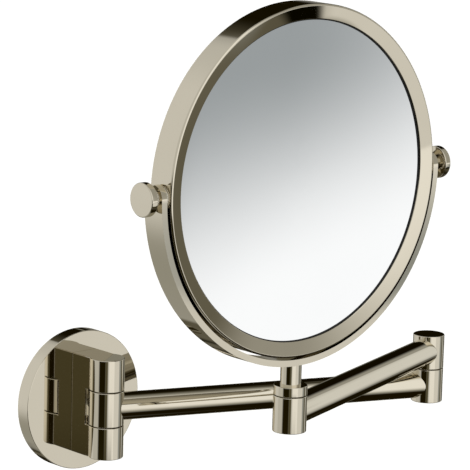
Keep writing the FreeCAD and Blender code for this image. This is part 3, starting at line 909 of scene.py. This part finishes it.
@dataclass
class MirrorHead:
    """The framed magnifying glass, its rear cover and the knobs it tilts on."""

    layout: Layout = LAYOUT
    depth: float = 16.5
    wall: float = 2.5
    front_round: float = 1.3
    round_steps: int = 8
    frame_edge: float = 0.25
    bezel_w: float = 7.0
    bezel_drop: float = 2.0
    lip_t: float = 0.8
    seal_show: float = 0.6
    seal_t: float = 0.4
    seal_edge: float = 0.12
    true_corner: float = 60.0   # degrees that a corner of the frame or seal turns at least
    glass_t: float = 2.5
    glass_hold: float = 1.5
    glass_sphere_r: float = 1400.0
    glass_rings: int = 24
    cover_t: float = 1.5
    cover_seat: float = 0.5
    cover_gap: float = 0.1
    cover_edge: float = 0.4
    knob_d: float = 18.0
    knob_t: float = 4.1
    neck_d: float = 8.0
    neck_l: float = 3.5
    knob_edge: float = 0.6
    outer_washer_t: float = 0.5
    stud_d: float = 6.1
    stud_in_knob: float = 4.0
    steps: int = 360
    knob_steps: int = 192

    @property
    def front(self) -> float:
        """The frame's front plane, from the mirror's middle towards the wall."""
        return -self.depth / 2

    @property
    def bezel_inner_r(self) -> float:
        """Radius of the bezel's inner edge."""
        return self.layout.frame_d / 2 - self.front_round - self.bezel_w

    @property
    def glass_front(self) -> float:
        """The rim of the glass's front face, from the mirror's middle towards the wall."""
        return self.front + self.bezel_drop + self.lip_t + self.seal_t

    def build(self) -> None:
        """Build and dress every piece of the mirror head."""
        self.frame_ring().finish("mirror_frame_ring", NICKEL, Body.HEAD, "mirror_frame")
        self.seal().finish("glass_seal_ring", RUBBER, Body.HEAD, "glass_seal")
        self.glass().finish("mirror_glass_disc", GLASS, Body.HEAD, "mirror_glass")
        self.cover().finish("rear_cover_disc", NICKEL, Body.HEAD, "rear_cover")
        for side in Side:
            name = side.name.lower()
            self.knob(side).finish(f"{name}_knob_turned", NICKEL, Body.HEAD, f"{name}_knob")
        for node in ("clamping_ring", "inner_washers", "outer_washers"):
            dress_node(node, NYLON)
        for node in ("pivot_bosses", "pivot_studs"):
            dress_node(node, STEEL)

    def frame_ring(self) -> Workpiece:
        """Shape the deep round frame with its sloping front bezel."""
        r, back, inner = self.layout.frame_d / 2, self.depth / 2, self.bezel_inner_r
        bore = r - self.wall
        seat = bore + self.cover_seat
        lip = self.front + self.bezel_drop + self.lip_t
        ledge = back - self.cover_t
        profile = [(inner, lip), (bore, lip), (bore, ledge), (seat, ledge), (seat, back), (r, back),
                   (r, self.front + self.front_round)]
        for step in range(1, self.round_steps):
            turn = math.pi / 2 * step / self.round_steps
            profile.append((r - self.front_round * (1 - math.cos(turn)),
                            self.front + self.front_round * (1 - math.sin(turn))))
        profile += [(r - self.front_round, self.front), (inner, self.front + self.bezel_drop)]
        work = Workpiece().lathe(profile, self.layout.mirror, Y_AXIS, self.steps)
        return work.soften(self.frame_edge, anywhere, self.true_corner)

    def seal(self) -> Workpiece:
        """Shape the thin black ring between the bezel and the glass."""
        inner = self.bezel_inner_r - self.seal_show
        lip = self.glass_front - self.seal_t
        outer = self.bezel_inner_r + self.glass_hold
        profile = [(inner, lip), (outer, lip), (outer, self.glass_front),
                   (inner, self.glass_front)]
        work = Workpiece().lathe(profile, self.layout.mirror, Y_AXIS, self.steps)
        return work.soften(self.seal_edge, anywhere, self.true_corner)

    def glass(self) -> Workpiece:
        """Shape the magnifying glass, hollow towards the room."""
        rim = self.bezel_inner_r + self.glass_hold

        def hollow(r: float) -> float:
            """How far the face is hollowed at a radius, past its rim."""
            ball = self.glass_sphere_r
            return math.sqrt(ball ** 2 - r ** 2) - math.sqrt(ball ** 2 - rim ** 2)
        radii = [rim * k / self.glass_rings for k in range(self.glass_rings + 1)]
        profile = [(r, self.glass_front + hollow(r)) for r in radii]
        profile += [(r, self.glass_front + hollow(r) + self.glass_t) for r in reversed(radii)]
        return Workpiece().lathe(profile, self.layout.mirror, Y_AXIS, self.steps)

    def cover(self) -> Workpiece:
        """Shape the disc pressed into the back of the frame."""
        back = self.depth / 2
        r = self.layout.frame_d / 2 - self.wall + self.cover_seat - self.cover_gap
        inside = back - self.cover_t
        profile = [(0, inside), (r, inside), (r, back), (0, back)]
        work = Workpiece().lathe(profile, self.layout.mirror, Y_AXIS, self.steps)
        return work.soften(self.cover_edge, anywhere)

    def knob(self, side: Side) -> Workpiece:
        """Shape a disc knob with its neck.

        Args:
            side: which end of the tilt axis it is on.

        Returns:
            The workpiece.
        """
        r, neck, hole = self.knob_d / 2, self.neck_d / 2, self.stud_d / 2
        end, way = self.neck_l + self.knob_t, X_AXIS * side.value
        at = self.layout.mirror + way * (self.layout.yoke_r + self.outer_washer_t)
        profile = [(0, end), (r, end), (r, self.neck_l), (neck, self.neck_l), (neck, 0), (hole, 0),
                   (hole, self.stud_in_knob), (0, self.stud_in_knob)]
        work = Workpiece().lathe(profile, at, way, self.knob_steps)
        return work.soften(self.knob_edge, outside(at, way, r))


# ---- studio
@dataclass(frozen=True)
class Panel:
    """A soft-edged panel of the studio, placed by its direction from the mirror.

    Turns are degrees round from straight out of the wall, towards +X, which is on the right
    of someone who faces the wall. Rises are degrees above the horizon.
    """

    colour: str
    turns: tuple[float, float]
    rises: tuple[float, float]
    blur: tuple[float, float]   # half-width of its soft sides, and of its soft top and bottom


ALL_ROUND = 400                 # past either end of the turns
UNDERFOOT = -120                # past the lowest rise
# Later panels stand in front of earlier ones. The dark ones are felt-covered flags, which
# give polished metal its black lines; the felt is a warm brown-black.
PANELS = {
    "grey floor cloth": Panel("#A09F98", (-ALL_ROUND, ALL_ROUND), (UNDERFOOT, -21.8), (30, 14)),
    "cloth on the left": Panel("#9F9F97", (-ALL_ROUND, -100), (-50, -34), (8.5, 20)),
    "cloth by the wall": Panel("#9F9F97", (190, ALL_ROUND), (-50, -34), (8.5, 20)),
    "left flag": Panel("#1D1702", (-93, -47), (-66, -0.1), (6, 6)),
    "left flag's edge": Panel("#58543F", (-50, -34), (-66, -0.1), (4, 6)),
    "front diffuser": Panel("#FFFFFF", (-28, 55), (-23, 120), (7, 13)),
    "right sweep": Panel("#615D4F", (49, 168), (-60, 43.6), (1.7, 5)),
    "right bounce": Panel("#A3A29C", (28, 137), (-3.4, 92), (17, 3.4)),
    "tall right flag": Panel("#120D01", (106, 152), (5, 69), (7.5, 4)),
    "wall flag": Panel("#161102", (136, 164), (2, 62), (15, 10)),
    "strip light": Panel("#E4E5E4", (79, 93), (-19.7, 27), (1.2, 13)),
    "right fill": Panel("#838175", (106, 131), (-19.6, 4.3), (2.5, 6.4)),
    "right edge flag": Panel("#2C2814", (89, 102), (-21, -10), (2.5, 2)),
    "block card": Panel("#88867B", (139.3, 141.8), (12.5, 14.6), (0.7, 0.7)),
    "low right flag": Panel("#181302", (84, 131), (-32, -22.8), (7, 3.1)),
    "low wall flag": Panel("#161102", (138, 152), (-28.5, -18), (1.5, 1.5)),
    "lower wall flag": Panel("#161102", (150, 166), (-34.5, -22), (1.5, 1.5)),
    "lowest wall flag": Panel("#2C2814", (165, 183), (-40, -28), (3, 1.5)),
    "low left flag": Panel("#312C19", (-89, -1), (-63, -16.2), (3, 2.1)),
    "deep flag": Panel("#1A1402", (0, 134), (-75, -40), (8, 7.9)),
    "overhead flag": Panel("#322D1A", (60, 120), (59, 70), (16, 6.4)),
    "wall fill": Panel("#DDDDDC", (191, ALL_ROUND), (-17.7, 43), (15.5, 11)),
    "low front flag": Panel("#413D2B", (16, 60), (-38, -30.5), (7.5, 0.8)),
    "right card": Panel("#6B685B", (57, 74), (-23.6, 5.8), (5.4, 5.3)),
    "horizon cloth": Panel("#9B9FA0", (37.6, 62), (-24, -10.1), (7.2, 1.45)),
    "table edge": Panel("#E3E3E2", (10, 47.5), (-29.5, -12.3), (3, 0.4)),
    "thin flag": Panel("#0A0800", (48.5, 57), (-31, -24), (1.5, 0.8)),
}
BACKDROP = "#CCCCCA"            # the pale cyclorama behind every panel


@dataclass
class Studio:
    """Pale floor, soft light all round and the camera."""

    brightness: float = 1.1
    mirrorings: int = 3         # gaps between polished faces go dark after this many
    last_turn: float = 230.0    # turns run from a full turn less than this up to this
    floor_z: float = -0.6
    floor_size: float = 40.0
    camera_at: tuple[float, float, float] = (-1.018384, -1.265300, 0.414024)
    azimuth: float = -42.015
    elevation: float = 11.050
    roll: float = 1.583
    sensor: float = 36.0
    lens: float = 222.135
    clip: tuple[float, float] = (0.05, 60.0)

    def build(self) -> None:
        """Build the floor, the light and the camera."""
        self.floor()
        self.light()
        self.camera()

    def floor(self) -> None:
        """Lay a plain pale floor well below the mirror and keep it out of reflections."""
        bm = bmesh.new()
        bmesh.ops.create_grid(bm, x_segments=1, y_segments=1, size=self.floor_size / 2,
                              matrix=Matrix.Translation((0, 0, self.floor_z)))
        mesh = bpy.data.meshes.new("floor")
        bm.to_mesh(mesh)
        bm.free()
        slab = bpy.data.objects.new("floor", mesh)
        bpy.context.scene.collection.objects.link(slab)
        mesh.materials.append(FLOOR.material())
        slab.visible_glossy = False

    def light(self) -> None:
        """Make the soft light: a pale room of soft-edged panels, plain white to look at."""
        world = bpy.data.worlds.new("studio")
        bpy.context.scene.world = world
        bpy.context.scene.cycles.glossy_bounces = self.mirrorings
        world.use_nodes = True
        tree = world.node_tree
        tree.nodes.clear()
        turn, rise = self.directions(tree)
        room = add_node(tree, "ShaderNodeRGB").outputs[0]
        room.default_value = linear(BACKDROP)
        for panel in PANELS.values():
            sides = self.band(tree, turn, panel.turns, panel.blur[0])
            ends = self.band(tree, rise, panel.rises, panel.blur[1])
            cover = add_node(tree, "ShaderNodeMath", {"operation": "MULTIPLY"}, {0: sides, 1: ends})
            room = add_node(tree, "ShaderNodeMix",
                            {"data_type": "RGBA", MIX_B: linear(panel.colour)},
                            {MIX_FACTOR: cover.outputs[0], MIX_A: room}).outputs[MIX_COLOUR]
        seen = add_node(tree, "ShaderNodeLightPath").outputs["Is Camera Ray"]
        shown = add_node(tree, "ShaderNodeMix", {"data_type": "RGBA", MIX_B: WHITE},
                         {MIX_FACTOR: seen, MIX_A: room})
        glow = add_node(tree, "ShaderNodeBackground", {"Strength": self.brightness},
                        {"Color": shown.outputs[MIX_COLOUR]})
        add_node(tree, "ShaderNodeOutputWorld", links={"Surface": glow.outputs["Background"]})

    def directions(self, tree: bpy.types.NodeTree) -> list[bpy.types.NodeSocket]:
        """Work out which way the light comes from.

        Args:
            tree: the world's node tree.

        Returns:
            The sockets with its turn and its rise, in degrees.
        """
        look = add_node(tree, "ShaderNodeTexCoord").outputs["Generated"]
        axes = add_node(tree, "ShaderNodeSeparateXYZ", links={"Vector": look}).outputs
        outward = add_node(tree, "ShaderNodeMath", {"operation": "MULTIPLY", 1: -1.0},
                           {0: axes["Y"]})
        turn = add_node(tree, "ShaderNodeMath", {"operation": "ARCTAN2"},
                        {0: axes["X"], 1: outward.outputs[0]})
        rise = add_node(tree, "ShaderNodeMath", {"operation": "ARCSINE"}, {0: axes["Z"]})
        turn, rise = (add_node(tree, "ShaderNodeMath", {"operation": "DEGREES"},
                               {0: angle.outputs[0]}) for angle in (turn, rise))
        wrapped = {"operation": "WRAP", 1: self.last_turn, 2: self.last_turn - 360}
        turn = add_node(tree, "ShaderNodeMath", wrapped, {0: turn.outputs[0]})
        return [turn.outputs[0], rise.outputs[0]]

    @staticmethod
    def band(tree: bpy.types.NodeTree, value: bpy.types.NodeSocket, span: tuple[float, float],
             blur: float) -> bpy.types.NodeSocket:
        """Make a soft-edged band of an angle.

        Args:
            tree: the world's node tree.
            value: the socket with the angle, in degrees.
            span: where the band starts and ends.
            blur: half-width of its soft edges.

        Returns:
            The socket that is 1 inside the band and 0 outside.
        """
        edges = []
        for edge, start in ((span[0], 0.0), (span[1], 1.0)):
            ramp = {"interpolation_type": "SMOOTHSTEP", "From Min": edge - blur,
                    "From Max": edge + blur, "To Min": start, "To Max": 1 - start}
            edges.append(add_node(tree, "ShaderNodeMapRange", ramp, {"Value": value}))
        both = {number: edge.outputs["Result"] for number, edge in enumerate(edges)}
        return add_node(tree, "ShaderNodeMath", {"operation": "MULTIPLY"}, both).outputs[0]

    def camera(self) -> None:
        """Place the camera at the standing viewer's angle."""
        data = bpy.data.cameras.new("camera")
        data.sensor_width = self.sensor
        data.lens = self.lens
        data.clip_start, data.clip_end = self.clip
        eye = bpy.data.objects.new("camera", data)
        bpy.context.scene.collection.objects.link(eye)
        a, e = math.radians(self.azimuth), math.radians(self.elevation)
        back = Vector((math.sin(a) * math.cos(e), -math.cos(a) * math.cos(e), math.sin(e)))
        eye.location = self.camera_at
        eye.rotation_mode = "QUATERNION"
        upright = (-back).to_track_quat("-Z", "Y")
        lean = Matrix.Rotation(math.radians(self.roll), 3, "Z").to_quaternion()
        eye.rotation_quaternion = upright @ lean
        bpy.context.scene.camera = eye


def main() -> None:
    """Build the sub-assemblies in order, then the studio."""
    logging.basicConfig(level=logging.INFO, format="%(message)s")
    for assembly in (WallMount(), RearArm(), FrontArm(), YokeAssembly(), MirrorHead(), Studio()):
        log.info("-- %s", type(assembly).__name__)
        assembly.build()
    bpy.context.scene.view_settings.view_transform = "Standard"


if __name__ == "__main__":
    main()
